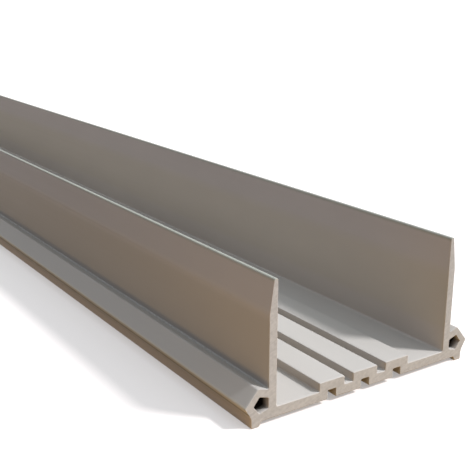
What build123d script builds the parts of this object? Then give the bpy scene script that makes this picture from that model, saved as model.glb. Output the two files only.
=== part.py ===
from build123d import *
import os

# A door bottom seal: one flexible extrusion whose channel is open at the top and at both ends.
# Its section is a U with two thin walls, a hollow bulb outside the foot of each wall, and a
# base whose middle block is notched from below and from above in turn, so that it stretches.
# Millimetres. X runs along the strip, Y across the channel and Z up.
# The origin is level with the undersides of the feet, in the middle of the length and the width.

# Length, and the channel's width: the thickness that it holds and the play on each side of it
strip_length = 914.4
door_thickness = 44.45
door_play = 0.275

# Walls
wall_thickness = 1.9
channel_depth = 24.0
taper_height = 6.9
lip_thickness = 0.9

# Base
base_lift = 1.0
web_thickness = 2.1
block_thickness = 4.0

# Notches of the block, cut from below at even steps from the middle and from above between them
notch_pitch = 4.4
steps_each_side = 2
end_land = 3.2
low_notch_width = 2.1
low_notch_roof = 2.1
high_notch_width = 2.3
high_notch_floor = 2.1

# Bulb outside each wall, its reaches measured out from the wall's outer face
valley_height = 7.3
crest_reach = 2.35
crest_rise = 0.65
tip_reach = 5.35
tip_height = 4.4
knee_height = 2.1
foot_reach = 3.95
foot_width = 1.85
foot_flare = 0.45

# Hollow of the bulb, set in from the outline by the thickness left on each side
roof_skin = 1.85
crest_inset = 0.3
nose_skin = 1.95
foot_inset = 1.9
floor_skin = 1.7
floor_rise = 0.6

# Radii of the die's corners
lip_radius = 0.4
crease_radius = 6.0
valley_radius = 0.25
crest_radius = 0.5
tip_radius = 0.4
knee_radius = 2.2
foot_radius = 0.3
foot_root_radius = 0.5
wall_root_radius = 0.4
notch_radius = 0.2
hollow_radius = 0.3

# Planes and heights that follow
wall_inner = door_thickness / 2 + door_play
wall_outer = wall_inner + wall_thickness
web_top = base_lift + web_thickness
seat_height = base_lift + block_thickness
seal_height = seat_height + channel_depth
crease_height = seal_height - taper_height
crest_height = valley_height + crest_rise
foot_outer = wall_outer + foot_reach
block_side = steps_each_side * notch_pitch + end_land


def low_notch(centre):
    """Corners of a notch cut up into the block, from its inner side to its outer one."""
    half = low_notch_width / 2
    roof = seat_height - low_notch_roof
    return [
        (centre - half, base_lift, notch_radius),
        (centre - half, roof, notch_radius),
        (centre + half, roof, notch_radius),
        (centre + half, base_lift, notch_radius),
    ]


def high_notch(centre):
    """Corners of a notch cut down into the block, from its outer side to its inner one."""
    half = high_notch_width / 2
    floor = base_lift + high_notch_floor
    return [
        (centre + half, seat_height, notch_radius),
        (centre + half, floor, notch_radius),
        (centre - half, floor, notch_radius),
        (centre - half, seat_height, notch_radius),
    ]


def underside():
    """The block from below, from the middle out: every even step has a notch."""
    corners = [corner for corner in low_notch(0) if corner[0] > 0]
    for step in range(2, steps_each_side + 1, 2):
        corners += low_notch(step * notch_pitch)
    return corners


def foot_and_bulb():
    """The foot, which stands below the base, and the bulb above it, up to the wall's outer face."""
    return [
        (foot_outer - foot_width - foot_flare, base_lift, foot_root_radius),
        (foot_outer - foot_width, 0, foot_radius),
        (foot_outer, 0, foot_radius),
        (foot_outer, knee_height, knee_radius),
        (wall_outer + tip_reach, tip_height, tip_radius),
        (wall_outer + crest_reach, crest_height, crest_radius),
        (wall_outer, valley_height, valley_radius),
    ]


def wall():
    """The wall, up its outer face, over the thin lip and down its inner face to the web."""
    return [
        (wall_outer, crease_height, crease_radius),
        (wall_inner + lip_thickness, seal_height, lip_radius),
        (wall_inner, seal_height, lip_radius),
        (wall_inner, web_top, wall_root_radius),
    ]


def top_side():
    """The web and the block from above, from the wall in: every odd step has a notch."""
    corners = [
        (block_side, web_top, notch_radius),
        (block_side, seat_height, notch_radius),
    ]
    last_odd = steps_each_side - (steps_each_side + 1) % 2
    for step in range(last_odd, 0, -2):
        corners += high_notch(step * notch_pitch)
    return corners


def rounded_face(corners):
    """A face inside corners given as across, up and the radius there."""
    points = [(across, up) for across, up, radius in corners]
    radii = [radius for across, up, radius in corners]
    return make_face(FilletPolyline(*points, radius=radii, close=True))


def outline():
    """The outline of the section: out along the right half, and back along its mirror image."""
    right = underside() + foot_and_bulb() + wall() + top_side()
    left = [(-across, up, radius) for across, up, radius in reversed(right)]
    return rounded_face(right + left)


def bulb_hollow():
    """The five-sided hollow of a bulb, upright along the wall and pointed at the tip."""
    floor_height = base_lift + floor_skin
    return rounded_face(
        [
            (wall_outer, valley_height - roof_skin, hollow_radius),
            (wall_outer + crest_reach - crest_inset, crest_height - roof_skin, hollow_radius),
            (wall_outer + tip_reach - nose_skin, tip_height, hollow_radius),
            (foot_outer - foot_inset, floor_height, hollow_radius),
            (wall_outer, floor_height + floor_rise, hollow_radius),
        ]
    )


def seal_section():
    """The whole section: the outline less the two hollows."""
    hollow = bulb_hollow()
    return outline() - hollow - mirror(hollow, about=Plane.YZ)


def seal_strip():
    """The section run along the strip, half the length each way from the middle."""
    return extrude(Plane.YZ * seal_section(), amount=strip_length / 2, both=True)


os.makedirs("parts", exist_ok=True)
export_step(seal_strip(), "parts/seal_strip.step")
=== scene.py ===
# %% [markdown]
# # A door bottom seal, from its section to its finish
#
# The object is one long strip of soft vinyl, drawn through a die. Everything about its shape is in
# its section: two thin walls that taper to a lip and grip what is set between them, a hollow bulb
# outside the foot of each wall, two small feet, and a base whose middle block is notched from
# below and from above in turn, so that it can stretch.
#
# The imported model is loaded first. It fixes where the strip lies and how long it is, and the piece
# made below takes its place for the eye.

# %% Load the fixed frame
import math

import bmesh
import bpy
from mathutils import Matrix, Vector


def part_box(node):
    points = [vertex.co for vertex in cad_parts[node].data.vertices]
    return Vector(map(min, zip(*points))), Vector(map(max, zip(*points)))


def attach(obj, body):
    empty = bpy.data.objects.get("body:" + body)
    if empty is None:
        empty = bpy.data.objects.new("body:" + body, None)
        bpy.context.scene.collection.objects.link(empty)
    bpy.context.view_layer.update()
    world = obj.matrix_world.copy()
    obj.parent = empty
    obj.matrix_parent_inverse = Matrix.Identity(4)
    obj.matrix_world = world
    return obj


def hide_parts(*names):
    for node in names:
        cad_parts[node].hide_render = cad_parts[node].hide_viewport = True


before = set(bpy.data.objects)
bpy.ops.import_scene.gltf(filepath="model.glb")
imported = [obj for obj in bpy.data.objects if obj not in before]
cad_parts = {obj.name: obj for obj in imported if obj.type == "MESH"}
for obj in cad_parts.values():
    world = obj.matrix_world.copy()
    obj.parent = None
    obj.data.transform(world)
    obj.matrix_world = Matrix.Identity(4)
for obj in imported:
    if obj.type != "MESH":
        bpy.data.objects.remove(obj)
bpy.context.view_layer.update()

# %% [markdown]
# ## Sizes
#
# Blender works in metres, and an extrusion's details are tenths of a millimetre, so each size is
# written in millimetres times a factor. Length and height come from the frame. The rest are the
# sizes of the die: where its corners lie and how round they are.

# %% Sizes of the section
MM = 0.001
NODE = "seal_strip"
node_low, node_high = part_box(NODE)
strip_end = node_high.x
seal_height = node_high.z

door_thickness = 44.45 * MM
door_play = 0.275 * MM

wall_thickness = 1.9 * MM
taper_height = 6.9 * MM
lip_thickness = 0.9 * MM

base_lift = 1.0 * MM
web_thickness = 2.1 * MM
block_thickness = 4.0 * MM

notch_pitch = 4.4 * MM
end_land = 3.2 * MM
low_notch_width = 2.1 * MM
low_notch_roof = 2.1 * MM
high_notch_width = 2.3 * MM
high_notch_floor = 2.1 * MM

valley_height = 7.3 * MM
crest_reach = 2.35 * MM
crest_rise = 0.65 * MM
tip_reach = 5.35 * MM
tip_height = 4.4 * MM
knee_height = 2.1 * MM
foot_reach = 3.95 * MM
foot_width = 1.85 * MM
foot_flare = 0.45 * MM

roof_skin = 1.85 * MM
crest_inset = 0.3 * MM
nose_skin = 1.95 * MM
foot_inset = 1.9 * MM
floor_skin = 1.7 * MM
floor_rise = 0.6 * MM

wall_inner = door_thickness / 2 + door_play
wall_outer = wall_inner + wall_thickness
web_top = base_lift + web_thickness
seat_height = base_lift + block_thickness
crease_height = seal_height - taper_height
crest_height = valley_height + crest_rise
crest_across = wall_outer + crest_reach
tip_across = wall_outer + tip_reach
foot_outer = wall_outer + foot_reach
block_side = 2 * notch_pitch + end_land
print("channel width, mm:", round(2 * wall_inner / MM, 2))
print("reach over the tips before rounding, mm:", round(2 * tip_across / MM, 2))

# %% [markdown]
# ## The corners of the section
#
# A die is drawn as straight flats joined by small radii. Each corner here is its place across the
# strip, its height and its radius. Only one half is written down, because the two halves are
# mirror images. A notch is four corners, and a small function gives them for any place.

# %% Corners of one half of the section
lip_radius = 0.4 * MM
crease_radius = 6.0 * MM
valley_radius = 0.25 * MM
crest_radius = 0.5 * MM
tip_radius = 0.4 * MM
knee_radius = 2.2 * MM
foot_radius = 0.3 * MM
foot_root_radius = 0.5 * MM
wall_root_radius = 0.4 * MM
notch_radius = 0.2 * MM
hollow_radius = 0.3 * MM


def notch(centre, width, mouth, bottom):
    """Corners of a square notch, in the order that takes the outline from left to right."""
    half = width / 2
    levels = (mouth, bottom, bottom, mouth)
    sides = (centre - half, centre - half, centre + half, centre + half)
    return [(side, level, notch_radius) for side, level in zip(sides, levels)]


low_roof = seat_height - low_notch_roof
high_floor = base_lift + high_notch_floor
middle_notch = notch(0, low_notch_width, base_lift, low_roof)
low_notch = notch(2 * notch_pitch, low_notch_width, base_lift, low_roof)
high_notch = notch(notch_pitch, high_notch_width, seat_height, high_floor)

bulb_side = [
    (foot_outer - foot_width - foot_flare, base_lift, foot_root_radius),
    (foot_outer - foot_width, 0, foot_radius),
    (foot_outer, 0, foot_radius),
    (foot_outer, knee_height, knee_radius),
    (tip_across, tip_height, tip_radius),
    (crest_across, crest_height, crest_radius),
    (wall_outer, valley_height, valley_radius),
]
wall_side = [
    (wall_outer, crease_height, crease_radius),
    (wall_inner + lip_thickness, seal_height, lip_radius),
    (wall_inner, seal_height, lip_radius),
    (wall_inner, web_top, wall_root_radius),
]
block_top = [
    (block_side, web_top, notch_radius),
    (block_side, seat_height, notch_radius),
]
half_outline = (
    [(0, low_roof, 0)]
    + middle_notch[2:]
    + low_notch
    + bulb_side
    + wall_side
    + block_top
    + high_notch[::-1]
    + [(0, seat_height, 0)]
)
hollow_floor = base_lift + floor_skin
hollow_outline = [
    (wall_outer, valley_height - roof_skin, hollow_radius),
    (crest_across - crest_inset, crest_height - roof_skin, hollow_radius),
    (tip_across - nose_skin, tip_height, hollow_radius),
    (foot_outer - foot_inset, hollow_floor, hollow_radius),
    (wall_outer, hollow_floor + floor_rise, hollow_radius),
]
print("corners in half of the outline:", len(half_outline))

# %% [markdown]
# ## From corners to a smooth wire
#
# A wire of straight edges is laid through the corners, and each corner is rounded with the bevel
# operator, set to work on a vertex. Bevel wants the distance from the corner to where the arc
# starts, which is the radius times the tangent of half the turn.

# %% Lay and round a wire
ARC_SEGMENTS = 4
LARGE_ARC_SEGMENTS = 6
LARGE_RADIUS = 0.45 * MM


def lay_wire(bm, corners):
    """A closed wire through the corners, in the plane of the strip's far end."""
    verts = [bm.verts.new((-strip_end, across, up)) for across, up, _ in corners]
    for here, there in zip(verts, verts[1:] + verts[:1]):
        bm.edges.new((here, there))
    return verts


def round_corners(bm, verts, corners):
    """Turns each corner that has a radius into an arc."""
    offsets = []
    for index, (_, _, radius) in enumerate(corners):
        before = verts[index - 1].co
        after = verts[(index + 1) % len(verts)].co
        turn = (verts[index].co - before).angle(after - verts[index].co)
        offsets.append(radius * math.tan(turn / 2))
    for vert, offset, (_, _, radius) in zip(verts, offsets, corners):
        if radius == 0:
            continue
        bmesh.ops.bevel(
            bm,
            geom=[vert],
            offset=offset,
            offset_type="OFFSET",
            segments=LARGE_ARC_SEGMENTS if radius > LARGE_RADIUS else ARC_SEGMENTS,
            profile=0.5,
            affect="VERTICES",
            material=-1,
            clamp_overlap=True,
        )


section = bmesh.new()
round_corners(section, lay_wire(section, half_outline), half_outline)
round_corners(section, lay_wire(section, hollow_outline), hollow_outline)
print("half of the section has", len(section.edges), "edges")

# %% [markdown]
# ## Holding points and the mirror image
#
# Smooth shading spreads over the whole of a flat unless a point is held close beside each arc, so
# every long flat gets one near each end. What is left of it is cut into steps short enough to bend
# later. The edge that lies on the middle plane is taken out, and the mirror operator adds the
# other half and welds it there.

# %% Hold the flats, cut them up and mirror the half
HOLD = 0.12 * MM
SHORTEST_HELD = 5 * HOLD
LONGEST_FLAT = 1.6 * MM
WELD = 0.001 * MM


def hold_flats(bm):
    """Puts a point near both ends of each flat that is long enough to need them."""
    for edge in [edge for edge in bm.edges if edge.calc_length() > SHORTEST_HELD]:
        for end in tuple(edge.verts):
            bmesh.utils.edge_split(edge, end, HOLD / edge.calc_length())


def cut_flats(bm):
    """Cuts what is still long into equal steps."""
    for edge in [edge for edge in bm.edges if edge.calc_length() > LONGEST_FLAT]:
        cuts = int(edge.calc_length() / LONGEST_FLAT)
        bmesh.ops.subdivide_edges(bm, edges=[edge], cuts=cuts)


on_middle = [edge for edge in section.edges if max(abs(vert.co.y) for vert in edge.verts) < WELD]
bmesh.ops.delete(section, geom=on_middle, context="EDGES")
hold_flats(section)
cut_flats(section)
bmesh.ops.mirror(
    section,
    geom=section.verts[:] + section.edges[:],
    matrix=Matrix.Identity(4),
    merge_dist=WELD,
    axis="Y",
)
print("the whole section has", len(section.verts), "points")

# %% [markdown]
# ## Drawing the strip out of the die
#
# The real strip comes out of the die in one pull. One long extrusion would do for a straight one,
# but this one has to bend, so the wire is extruded a step at a time. The steps are short near the
# two cuts, where the edge is rounded, and about a centimetre long between them, which is fine
# enough for the slow waves that such a soft strip takes on.

# %% Extrude the section along the strip
CUT_ROUNDING = 0.12 * MM
END_STEPS = [0.6 * MM, 2.0 * MM, 5.0 * MM]
MIDDLE_STEP = 9.0 * MM


def stations():
    """Places along the strip where the skin has a ring of points."""
    first = -strip_end + CUT_ROUNDING
    near_start = [first] + [first + step for step in END_STEPS]
    span = -2 * near_start[-1]
    count = round(span / MIDDLE_STEP)
    between = [near_start[-1] + span * index / count for index in range(1, count)]
    return near_start + between + [-place for place in reversed(near_start)]


def extrude_rings(bm, places):
    """Extrudes the wire from place to place, and returns its first and last rings."""
    bmesh.ops.translate(bm, verts=bm.verts[:], vec=(places[0] - bm.verts[0].co.x, 0, 0))
    first = bm.edges[:]
    ring = first
    for here, there in zip(places, places[1:]):
        made = bmesh.ops.extrude_edge_only(bm, edges=ring)
        verts = {item for item in made["geom"] if isinstance(item, bmesh.types.BMVert)}
        bmesh.ops.translate(bm, verts=list(verts), vec=(there - here, 0, 0))
        edges = {edge for vert in verts for edge in vert.link_edges}
        ring = [edge for edge in edges if edge.verts[0] in verts and edge.verts[1] in verts]
    return first, ring


section.verts.ensure_lookup_table()
ring_places = stations()
start_ring, end_ring = extrude_rings(section, ring_places)
print("rings:", len(ring_places), "faces:", len(section.faces))

# %% [markdown]
# ## The two cuts
#
# Each open end is filled with triangles, which leaves the two hollows open, because the fill
# operator sees their wires as holes. Two insets roll the rim over as a fine rounding, the first
# mostly outwards and the second mostly inwards. A bevel would have to be told its edges, and the
# insets follow the outline and the hollows at once. The flat of the cut keeps flat shading and gets
# a finish of its own. The faces inside the hollows, found by the box that they lie in, get a
# material of their own, which paints their shade.

# %% Cap the ends and round their rims
SKIN, CUT, HOLLOW = 0, 1, 2
HALF_OF_RIM = math.radians(45)


def cap(bm, ring, direction):
    """Closes one end, rounds its rim and returns the faces of the flat cut."""
    made = bmesh.ops.triangle_fill(bm, edges=ring, use_beauty=True, normal=(direction, 0, 0))
    faces = [item for item in made["geom"] if isinstance(item, bmesh.types.BMFace)]
    for face in faces:
        face.normal_update()
        if face.normal.x * direction < 0:
            face.normal_flip()
    low = 1 - math.cos(HALF_OF_RIM)
    high = math.sin(HALF_OF_RIM)
    for inward, outward in ((low, high), (1 - low, 1 - high)):
        bmesh.ops.inset_region(
            bm,
            faces=faces,
            thickness=inward * CUT_ROUNDING,
            depth=outward * CUT_ROUNDING,
            use_even_offset=True,
            use_boundary=True,
        )
    return faces


cut_faces = cap(section, start_ring, -1) + cap(section, end_ring, 1)
bmesh.ops.recalc_face_normals(section, faces=section.faces[:])
for face in section.faces:
    face.smooth = True
for face in cut_faces:
    face.smooth = False
    face.material_index = CUT
hollow_low = Vector((wall_outer, hollow_floor))
hollow_high = Vector((tip_across - nose_skin, crest_height - roof_skin))
hollow_faces = []
for face in section.faces:
    centre = face.calc_center_median()
    within = hollow_low.x - WELD < abs(centre.y) < hollow_high.x
    within = within and hollow_low.y - WELD < centre.z < hollow_high.y
    if within and face.material_index == SKIN:
        face.material_index = HOLLOW
        hollow_faces.append(face)
print("faces on the two cuts:", len(cut_faces), "and in the hollows:", len(hollow_faces))

# %% [markdown]
# ## A relaxed strip
#
# A wall of soft vinyl 24 mm high is never quite straight once the strip is uncoiled. Each wall
# leans in and out by a fraction of a millimetre in slow waves, most at its lip and nothing at its
# foot. A noise could move the points too. A sum of two sines of unequal lengths is used instead,
# because it doesn't repeat within the strip and can never lean farther than the size set here.

# %% Lean the walls in slow waves
LEAN = 0.16 * MM
LONG_WAVE = 0.37
LONG_SHARE = 0.7
LONG_PHASE = 0.7
SHORT_WAVE = 0.149
SHORT_SHARE = 0.3
SHORT_PHASE = 1.9
channel_depth = seal_height - seat_height


def lean_at(place, side):
    """How far the lip of one wall leans at a place along the strip."""
    long_wave = math.sin(math.tau * place / LONG_WAVE + LONG_PHASE * side)
    short_wave = math.sin(math.tau * place / SHORT_WAVE + SHORT_PHASE * side)
    return LEAN * (LONG_SHARE * long_wave + SHORT_SHARE * short_wave)


for vert in section.verts:
    above = max(0.0, (vert.co.z - seat_height) / channel_depth)
    if above > 0 and abs(vert.co.y) > wall_inner - HOLD:
        side = math.copysign(1, vert.co.y)
        vert.co.y += lean_at(vert.co.x, side) * above ** 2
leans = [abs(lean_at(place, 1)) / MM for place in ring_places]
print("largest lean of a lip, mm:", round(max(leans), 2))

# %% [markdown]
# ## The piece
#
# The mesh becomes one object at the origin. It rides on the only body and stands in for the CAD
# solid, which is hidden.

# %% Make the object and tie it to the frame
seal_mesh = bpy.data.meshes.new("seal_strip_skin")
section.to_mesh(seal_mesh)
section.free()
seal = bpy.data.objects.new("seal_strip_skin", seal_mesh)
bpy.context.scene.collection.objects.link(seal)
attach(seal, "root")
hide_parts(NODE)
triangles = sum(len(face.vertices) - 2 for face in seal_mesh.polygons)
print("triangles:", triangles)

# %% [markdown]
# ## A material and its grain
#
# A material is a small graph of nodes, and short helpers let each finish below read as a list of
# what is seen on it. All of them start from Object coordinates, which stay with the strip
# whatever the view. The noise is mapped in the texture way, which turns the grain with its
# stretch. The point way stretches first, and the grain would stay along its axis whatever the
# turn.

# %% Helpers for a new material and its noise
VINYL_IOR = 1.48
VINYL_GLOSS = 0.08


def new_material(name):
    """A material with its node tree, its shader and its Object coordinates."""
    material = bpy.data.materials.new(name)
    material.use_nodes = True
    tree = material.node_tree
    shader = tree.nodes["Principled BSDF"]
    place = tree.nodes.new("ShaderNodeTexCoord").outputs["Object"]
    return material, tree, shader, place


def new_vinyl(name):
    """A new material with the faint gloss that all the vinyl has."""
    material, tree, shader, place = new_material(name)
    shader.inputs["IOR"].default_value = VINYL_IOR
    shader.inputs["Specular IOR Level"].default_value = VINYL_GLOSS
    return material, tree, shader, place


def stretched_noise(tree, place, per_metre, detail, turn=0.0):
    """Noise with a grain in cycles per metre along each axis, turned about X as a whole."""
    mapping = tree.nodes.new("ShaderNodeMapping")
    mapping.vector_type = "TEXTURE"
    mapping.inputs["Rotation"].default_value = (turn, 0, 0)
    mapping.inputs["Scale"].default_value = [1 / cycles for cycles in per_metre]
    tree.links.new(place, mapping.inputs["Vector"])
    noise = tree.nodes.new("ShaderNodeTexNoise")
    noise.inputs["Scale"].default_value = 1.0
    noise.inputs["Detail"].default_value = detail
    tree.links.new(mapping.outputs["Vector"], noise.inputs["Vector"])
    return noise.outputs["Fac"]


print("index and gloss of the vinyl:", VINYL_IOR, VINYL_GLOSS)

# %% [markdown]
# ## Ranges, tints and relief
#
# A noise only gives a number. Three more helpers turn it into something seen: one maps it to
# another range, one mixes two colours by it, and one raises a relief from it. A relief in the
# material is enough for lines a hundredth of a millimetre deep, and the mesh stays light.

# %% Helpers for ranges, tints and relief
NOISE_LOW = 0.3
NOISE_HIGH = 0.7


def spread(tree, value, low, high, start=NOISE_LOW, stop=NOISE_HIGH):
    """Maps a range, which is the middle of a noise's unless one is given, to another."""
    span = tree.nodes.new("ShaderNodeMapRange")
    span.inputs["From Min"].default_value = start
    span.inputs["From Max"].default_value = stop
    span.inputs["To Min"].default_value = low
    span.inputs["To Max"].default_value = high
    tree.links.new(value, span.inputs["Value"])
    return span.outputs["Result"]


def tint(tree, factor, dark, light):
    """A colour between two, chosen by a factor from 0 to 1."""
    mix = tree.nodes.new("ShaderNodeMix")
    mix.data_type = "RGBA"
    tree.links.new(factor, mix.inputs["Factor"])
    for name, colour in (("A", dark), ("B", light)):
        if isinstance(colour, bpy.types.NodeSocket):
            tree.links.new(colour, mix.inputs[name])
        else:
            mix.inputs[name].default_value = colour
    return mix.outputs["Result"]


def bump(tree, height, distance, under=None):
    """A relief of the given depth in metres, laid over another one."""
    relief = tree.nodes.new("ShaderNodeBump")
    relief.inputs["Distance"].default_value = distance
    tree.links.new(height, relief.inputs["Height"])
    if under is not None:
        tree.links.new(under, relief.inputs["Normal"])
    return relief.outputs["Normal"]


print("a noise is read from", NOISE_LOW, "to", NOISE_HIGH)

# %% [markdown]
# ## Soft vinyl, as the die leaves it
#
# The skin is a satin taupe. The die draws faint lines along the strip, which a noise gives when it
# is slow along X and quick across. A slower one shifts the colour a little from place to place,
# and a very fine grain breaks up the shine.

# %% Skin material
VINYL_DARK = (0.415, 0.371, 0.326, 1)
VINYL_LIGHT = (0.465, 0.417, 0.368, 1)
CLOUDS_RANGE = (0.15, 0.85)
SKIN_ROUGHNESS = (0.44, 0.56)
DIE_LINES_PER_METRE = (5, 1100, 1100)
CLOUDS_PER_METRE = (22, 60, 60)
GRAIN_PER_METRE = (7000, 7000, 7000)
DIE_LINES_DEPTH = 0.012 * MM
GRAIN_DEPTH = 0.003 * MM

skin, tree, shader, place = new_vinyl("soft_vinyl_skin")
die_lines = stretched_noise(tree, place, DIE_LINES_PER_METRE, detail=3.0)
clouds = stretched_noise(tree, place, CLOUDS_PER_METRE, detail=3.0)
grain = stretched_noise(tree, place, GRAIN_PER_METRE, detail=1.0)
colour = tint(tree, spread(tree, clouds, *CLOUDS_RANGE), VINYL_DARK, VINYL_LIGHT)
tree.links.new(spread(tree, die_lines, *SKIN_ROUGHNESS), shader.inputs["Roughness"])
lines_relief = bump(tree, die_lines, DIE_LINES_DEPTH)
tree.links.new(bump(tree, grain, GRAIN_DEPTH, lines_relief), shader.inputs["Normal"])
seal_mesh.materials.append(skin)
print("skin material nodes, before its dust:", len(tree.nodes))

# %% [markdown]
# ## Distance from a line
#
# The painted light and shade below follow the section of the extrusion, so they run along it in
# straight bands. They could be painted by hand, but a distance from a line follows the strip exactly
# from end to end, and fades evenly on both sides of the line. The sign of Y is dropped first, so
# that one line serves both halves. Most of the lines are corners of the section. Two are not, the
# middle of a slope and the middle of a wall's flat, and their places are worked out here.

# %% Distance from a line, and two lines between corners
def worked_out(tree, operation, first, second=None):
    """One step of arithmetic on one or two sockets."""
    step = tree.nodes.new("ShaderNodeMath")
    step.operation = operation
    tree.links.new(first, step.inputs[0])
    if second is not None:
        tree.links.new(second, step.inputs[1])
    return step.outputs["Value"]


def sides_of(tree, vector):
    """The X, Y and Z of a vector, each as a socket."""
    sides = tree.nodes.new("ShaderNodeSeparateXYZ")
    tree.links.new(vector, sides.inputs["Vector"])
    return sides.outputs


def from_line(tree, place, across, up):
    """How far a point is from a line along the strip, or from its mirror image."""
    sides = sides_of(tree, place)
    folded = tree.nodes.new("ShaderNodeCombineXYZ")
    tree.links.new(worked_out(tree, "ABSOLUTE", sides["Y"]), folded.inputs["Y"])
    tree.links.new(sides["Z"], folded.inputs["Z"])
    gap = tree.nodes.new("ShaderNodeVectorMath")
    gap.operation = "DISTANCE"
    tree.links.new(folded.outputs["Vector"], gap.inputs[0])
    gap.inputs[1].default_value = (0, across, up)
    return gap.outputs["Value"]


slope_across = (crest_across + tip_across) / 2
slope_middle = (crest_height + tip_height) / 2
wall_middle = (crease_height + valley_height) / 2
wall_half = (crease_height - valley_height) / 2
print("middle of a wall's flat, mm:", round(wall_middle / MM, 2))

# %% [markdown]
# ## Painted light and shade along the section
#
# Painted shade darkens the valley beside each wall, the facet above the bulb and the hidden side of
# its tip, and dulls the lips. Painted light makes the feet lighter and warmer, standing in for light
# from the floor. On the slopes and walls the painted tone is only half laid on, browner below the
# crease of a wall, greyer above it and lighter and greyer on the slopes. The crease and the edge of
# the tip get a painted highlight. Each band is laid over the ones before it.

# %% Painted light and shade along lines of the section
# Painted light, half laid on: the wall below the crease browner, the taper greyer and the slopes
# lighter and greyer, as the light falls on each face.
WALL_PAINTED_TONE = (0.434, 0.383, 0.305, 1)
TAPER_PAINTED_TONE = (0.440, 0.396, 0.375, 1)
SLOPE_PAINTED_TONE = (0.455, 0.430, 0.392, 1)
# Painted highlight along the crease of each wall.
CREASE_PAINTED_HIGHLIGHT = (0.484, 0.426, 0.361, 1)
# Painted highlight along the edge of the tip.
TIP_PAINTED_HIGHLIGHT = (0.56, 0.50, 0.40, 1)
# Painted light: the feet lighter and warmer, standing in for light sent up by the floor.
FOOT_PAINTED_LIGHT = (0.53, 0.44, 0.345, 1)
# Painted shade on the hidden side of the tip, which faces down.
UNDER_TIP_PAINTED_SHADE = (0.272, 0.224, 0.152, 1)
# Painted shade on the facet between the valley and the crest.
FACET_PAINTED_SHADE = (0.395, 0.354, 0.312, 1)
# Painted shade in the valley beside each wall.
VALLEY_PAINTED_SHADE = (0.335, 0.317, 0.288, 1)
# Painted shade that dulls the lit top of each lip.
LIP_PAINTED_SHADE = (0.33, 0.317, 0.265, 1)
THIN = 0.5
FULL = 1

# Colour, its share, the line's place across and up, and the distances where it fades and is gone
PAINTED_LIGHT_BANDS = [
    (WALL_PAINTED_TONE, THIN, wall_outer, wall_middle, wall_half - 1.6 * MM, wall_half),
    (TAPER_PAINTED_TONE, THIN, wall_outer, seal_height, taper_height - 0.4 * MM, taper_height + 0.4 * MM),
    (CREASE_PAINTED_HIGHLIGHT, THIN, wall_outer, crease_height, 0.4 * MM, 1.3 * MM),
    (SLOPE_PAINTED_TONE, THIN, slope_across, slope_middle, 1.7 * MM, 2.4 * MM),
    (FOOT_PAINTED_LIGHT, FULL, foot_outer, 0, 1.4 * MM, 2.8 * MM),
    (UNDER_TIP_PAINTED_SHADE, FULL, tip_across - 0.55 * MM, tip_height - 1.25 * MM, 0.2 * MM, 0.7 * MM),
    (TIP_PAINTED_HIGHLIGHT, FULL, tip_across - 0.15 * MM, tip_height - 0.25 * MM, 0.35 * MM, 0.75 * MM),
    (FACET_PAINTED_SHADE, FULL, wall_outer + 1.5 * MM, valley_height + 0.4 * MM, 0.6 * MM, 1.0 * MM),
    (VALLEY_PAINTED_SHADE, FULL, wall_outer, valley_height + 0.7 * MM, 0.25 * MM, 1.15 * MM),
    (LIP_PAINTED_SHADE, FULL, wall_inner + lip_thickness / 2, seal_height, 0.45 * MM, 0.9 * MM),
]
# Each band mixes its painted light or shade over the colour before it.
for painted_light_and_shade, share, across, up, fades_from, gone_by in PAINTED_LIGHT_BANDS:
    away = from_line(tree, place, across, up)
    kept = spread(tree, away, 1 - share, 1, fades_from, gone_by)
    colour = tint(tree, kept, painted_light_and_shade, colour)
tree.links.new(colour, shader.inputs["Base Color"])
print("traces on each side:", len(PAINTED_LIGHT_BANDS), "and nodes in the skin material:", len(tree.nodes))

# %% [markdown]
# ## The sawn ends
#
# A saw leaves the cut a touch lighter and duller than the skin, with fine scores that slant across
# it. The scores are a noise stretched along one direction in the plane of the cut. Added to a noise
# of small specks, they also shift the colour a little, as torn vinyl does.

# %% Cut material
CUT_DARK = (0.367, 0.340, 0.309, 1)
CUT_LIGHT = (0.449, 0.416, 0.380, 1)
CUT_ROUGHNESS = (0.56, 0.68)
MARKS_LOW = 0.75
MARKS_HIGH = 1.25
SCORES_PER_METRE = (1, 2100, 210)
SCORES_TURN = math.radians(-66)
SPECKS_PER_METRE = (1500, 1500, 1500)
SCORES_DEPTH = 0.02 * MM
SPECKS_DEPTH = 0.01 * MM

cut, tree, shader, place = new_vinyl("soft_vinyl_cut")
scores = stretched_noise(tree, place, SCORES_PER_METRE, detail=3.0, turn=SCORES_TURN)
specks = stretched_noise(tree, place, SPECKS_PER_METRE, detail=3.0)
marks = worked_out(tree, "ADD", scores, specks)
colour = tint(tree, spread(tree, marks, 0, 1, MARKS_LOW, MARKS_HIGH), CUT_DARK, CUT_LIGHT)
tree.links.new(colour, shader.inputs["Base Color"])
tree.links.new(spread(tree, scores, *CUT_ROUGHNESS), shader.inputs["Roughness"])
scores_relief = bump(tree, scores, SCORES_DEPTH)
tree.links.new(bump(tree, specks, SPECKS_DEPTH, scores_relief), shader.inputs["Normal"])
seal_mesh.materials.append(cut)
print("cut material nodes:", len(tree.nodes))

# %% [markdown]
# ## Inside the hollows
#
# A hollow is only a few millimetres across, so it swallows the light within its own width and
# reads as black. The lamps alone leave it paler than that, so its skin starts about as light as the
# rest at the mouth and darkens quickly behind it. The depth is the distance from the nearer cut,
# taken from the place along the strip.

# %% Hollow material
# Painted shade: the hollows' skin darkens with depth behind each cut.
HOLLOW_DEEP = (0.018, 0.014, 0.010, 1)
DARK_FROM = 0.6 * MM
DARK_BY = 2.0 * MM
HOLLOW_ROUGHNESS = (0.6, 0.72)
HOLLOW_GRAIN_PER_METRE = (400, 5200, 5200)
HOLLOW_GRAIN_DEPTH = 0.01 * MM

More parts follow.
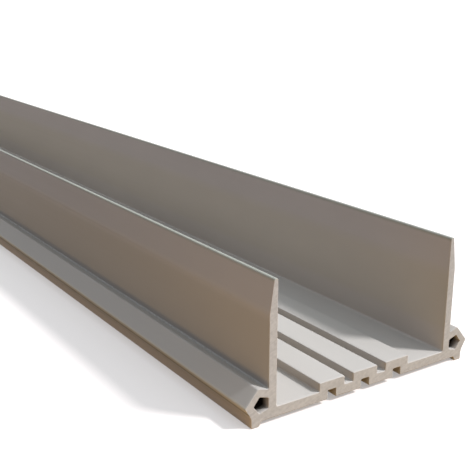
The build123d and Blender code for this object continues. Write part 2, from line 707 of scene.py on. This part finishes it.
hollow, tree, shader, place = new_vinyl("soft_vinyl_hollow")
from_middle = worked_out(tree, "ABSOLUTE", sides_of(tree, place)["X"])
mouth = spread(tree, from_middle, 0, 1, strip_end - DARK_BY, strip_end - DARK_FROM)
tree.links.new(tint(tree, mouth, HOLLOW_DEEP, VINYL_DARK), shader.inputs["Base Color"])
grain = stretched_noise(tree, place, HOLLOW_GRAIN_PER_METRE, detail=2.0)
tree.links.new(spread(tree, grain, *HOLLOW_ROUGHNESS), shader.inputs["Roughness"])
tree.links.new(bump(tree, grain, HOLLOW_GRAIN_DEPTH), shader.inputs["Normal"])
seal_mesh.materials.append(hollow)
print("hollow material nodes:", len(tree.nodes))

# %% [markdown]
# ## Floor
#
# The strip stands on a plain pale floor, a hair below its feet, so that the two surfaces never
# fight for the same place. One face is enough, and it is so wide that its edge is never seen.

# %% Floor shape
FLOOR_SIZE = 40.0
FLOOR_DROP = 0.02 * MM

floor_shape = bmesh.new()
bmesh.ops.create_grid(floor_shape, x_segments=1, y_segments=1, size=FLOOR_SIZE / 2)
bmesh.ops.translate(floor_shape, verts=floor_shape.verts[:], vec=(0, 0, -FLOOR_DROP))
floor_mesh = bpy.data.meshes.new("floor")
floor_shape.to_mesh(floor_mesh)
floor_shape.free()
floor = bpy.data.objects.new("floor", floor_mesh)
bpy.context.scene.collection.objects.link(floor)
print("floor size, m:", FLOOR_SIZE)

# %% [markdown]
# ## What the floor sends back
#
# The floor looks white to the camera and in reflections. A share of that white is its own, which
# keeps the strip's shadow pale and adds no light. If it were white for all light, the walls would
# turn pale and cold. For the light that it sends back up to the strip it is a wooden brown instead,
# with painted light and shade in it: it sends most from where the key reaches it past the end of the
# front wall, less from a band along the strip, and hardly any from farther off, although the key
# lights that far floor too. That is what makes the walls warm, and lighter towards the near cut.

# %% Floor material
FLOOR_SEEN = (1.0, 0.87, 0.79, 1)
# Painted light and shade in the colour that the floor sends back up to the strip.
FLOOR_LIT = (0.44, 0.28, 0.13, 1)
FLOOR_BAND = (0.42, 0.25, 0.06, 1)
FLOOR_FAR = (0.02, 0.02, 0.02, 1)
FLOOR_OWN_WHITE = 0.35
FLOOR_ROUGHNESS = 0.9
FLOOR_GLOSS = 0.0
BAND_FADES_FROM = 0.03
BAND_GONE_BY = 0.06
LIT_FADE = 0.01
KEY_BEARING = math.radians(46)


def seen_directly(tree):
    """1 for rays from the camera, a gloss or a clear surface, and 0 for the light in between."""
    rays = tree.nodes.new("ShaderNodeLightPath").outputs
    reflected = worked_out(tree, "MAXIMUM", rays["Is Glossy Ray"], rays["Is Transmission Ray"])
    return worked_out(tree, "MAXIMUM", rays["Is Camera Ray"], reflected)


def blended(tree, factor, first, second, output):
    """Mixes two shaders by a factor and gives the result to an output node."""
    mix = tree.nodes.new("ShaderNodeMixShader")
    tree.links.new(factor, mix.inputs["Fac"])
    tree.links.new(first, mix.inputs[1])
    tree.links.new(second, mix.inputs[2])
    tree.links.new(mix.outputs["Shader"], tree.nodes[output].inputs["Surface"])


floor_paint, tree, shader, place = new_material("pale_floor")
shader.inputs["Roughness"].default_value = FLOOR_ROUGHNESS
shader.inputs["Specular IOR Level"].default_value = FLOOR_GLOSS
off_axis = worked_out(tree, "ABSOLUTE", sides_of(tree, place)["Y"])
past_band = spread(tree, off_axis, 0, 1, BAND_FADES_FROM, BAND_GONE_BY)
shaded = tint(tree, past_band, FLOOR_BAND, FLOOR_FAR)
across_key = Vector((math.sin(KEY_BEARING), -math.cos(KEY_BEARING), 0))
reach = tree.nodes.new("ShaderNodeVectorMath")
reach.operation = "DOT_PRODUCT"
reach.inputs[1].default_value = across_key
tree.links.new(place, reach.inputs[0])
past_wall = across_key.dot(Vector((strip_end, -wall_outer, 0)))
lit = spread(tree, reach.outputs["Value"], 0, 1, past_wall, past_wall + LIT_FADE)
bounce = tint(tree, lit, shaded, FLOOR_LIT)
seen = seen_directly(tree)
tree.links.new(tint(tree, seen, bounce, FLOOR_SEEN), shader.inputs["Base Color"])
own_white = tree.nodes.new("ShaderNodeEmission").outputs["Emission"]
own_share = spread(tree, seen, 0, FLOOR_OWN_WHITE, 0, 1)
blended(tree, own_share, shader.outputs["BSDF"], own_white, "Material Output")
floor_mesh.materials.append(floor_paint)
print("floor material nodes:", len(tree.nodes))

# %% [markdown]
# ## Sky
#
# The sky fills the shade. One colour all over would do nearly as well. This one is dim and warm at
# the horizon and cool overhead, which keeps the upright walls a little warmer and turns the slopes
# a little greyer. To the camera and in reflections it is plain white.

# %% Sky
SKY_LOW = (0.22, 0.09, 0.05, 1)
SKY_HIGH = (0.70, 0.88, 1.04, 1)
WHITE = (1, 1, 1, 1)

world = bpy.data.worlds.new("studio")
world.use_nodes = True
bpy.context.scene.world = world
tree = world.node_tree
towards = tree.nodes.new("ShaderNodeTexCoord").outputs["Object"]
sky = tree.nodes["Background"]
graded = tint(tree, sides_of(tree, towards)["Z"], SKY_LOW, SKY_HIGH)
tree.links.new(graded, sky.inputs["Color"])
white = tree.nodes.new("ShaderNodeBackground")
white.inputs["Color"].default_value = WHITE
plain_white = white.outputs["Background"]
blended(tree, seen_directly(tree), sky.outputs["Background"], plain_white, "World Output")
print("sky nodes:", len(tree.nodes))

# %% [markdown]
# ## Key and glow
#
# The key is a sun that stands off the near end and to the back. It lights the cut, and past the
# end of the front wall it reaches the first few millimetres of the bulb. A lamp close by would
# light the near end more than the far one. A wide, weak glow around the key softens its shadows.

# %% Key and glow
KEY_COLOUR = (0.87, 0.92, 1.0)
KEY_STRENGTH = 4.25
KEY_HEIGHT = math.radians(46)
KEY_WIDTH = math.radians(8)
GLOW_COLOUR = (0.85, 0.93, 1.0)
GLOW_STRENGTH = 0.85
GLOW_WIDTH = math.radians(70)


def distant_lamp(name, colour, strength, width):
    """A lamp on the key's side, so far off that only its direction and its width count."""
    data = bpy.data.lights.new(name, "SUN")
    data.color = colour
    data.energy = strength
    data.angle = width
    lamp = bpy.data.objects.new(name, data)
    level = math.cos(KEY_HEIGHT)
    along = math.cos(KEY_BEARING) * level
    across = math.sin(KEY_BEARING) * level
    towards = Vector((along, across, math.sin(KEY_HEIGHT)))
    lamp.rotation_euler = towards.to_track_quat("Z", "Y").to_euler()
    bpy.context.scene.collection.objects.link(lamp)
    print(name, "shines from", [round(part, 2) for part in towards])


distant_lamp("key", KEY_COLOUR, KEY_STRENGTH, KEY_WIDTH)
distant_lamp("glow", GLOW_COLOUR, GLOW_STRENGTH, GLOW_WIDTH)

# %% [markdown]
# ## Camera
#
# The photograph looks down a little on the near end, with the strip running away to the left. The
# lens and the place were worked out from the lines of the section, which meet the frame where the
# photograph shows them.

# %% Camera
LENS = 64.92
SENSOR_WIDTH = 36.0
NEAREST_SEEN = 0.01
CAMERA_FROM_END = Vector((116.37, -109.66, 80.3)) * MM
LOOK_BEARING = 146.28
LOOK_DOWN = 16.56

camera_data = bpy.data.cameras.new("camera")
camera_data.lens = LENS
camera_data.sensor_width = SENSOR_WIDTH
camera_data.clip_start = NEAREST_SEEN
camera = bpy.data.objects.new("camera", camera_data)
camera.location = Vector((strip_end, 0, 0)) + CAMERA_FROM_END
camera.rotation_euler = (math.radians(90 - LOOK_DOWN), 0, math.radians(LOOK_BEARING - 90))
bpy.context.scene.collection.objects.link(camera)
bpy.context.scene.camera = camera
bpy.context.scene.view_settings.view_transform = "Standard"
print("camera height, m:", round(camera.location.z, 4))
